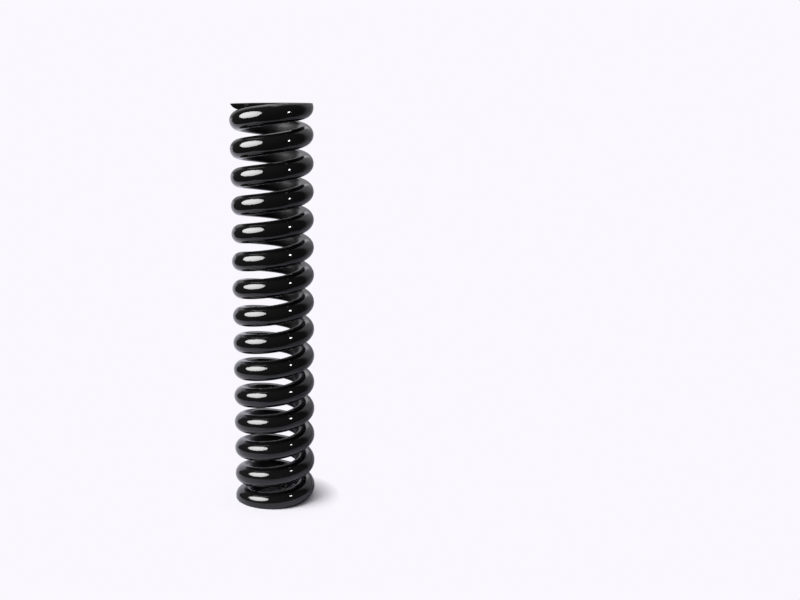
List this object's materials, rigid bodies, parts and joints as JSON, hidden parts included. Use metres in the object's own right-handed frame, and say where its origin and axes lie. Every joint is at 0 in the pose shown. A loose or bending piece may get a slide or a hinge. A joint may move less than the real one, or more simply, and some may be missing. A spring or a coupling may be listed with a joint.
{
  "type": "crusher spring",
  "caption": "Heavy right-hand helical compression spring of round steel bar, with closed and ground ends, for a crusher's release gear or tension rod.",
  "frame": {"origin": "on the coil axis, in the plane of the lower ground face", "axes": "+Z along the coil axis, from the lower ground face to the upper one; the lower cut end of the bar lies 60 degrees from +X towards +Y"},
  "size_m": [0.105, 0.1049, 0.515],
  "materials": {
    "black_paint": "gloss"
  },
  "bodies": {
    "root": {"coil_spring": "black_paint"}
  },
  "joints": []
}
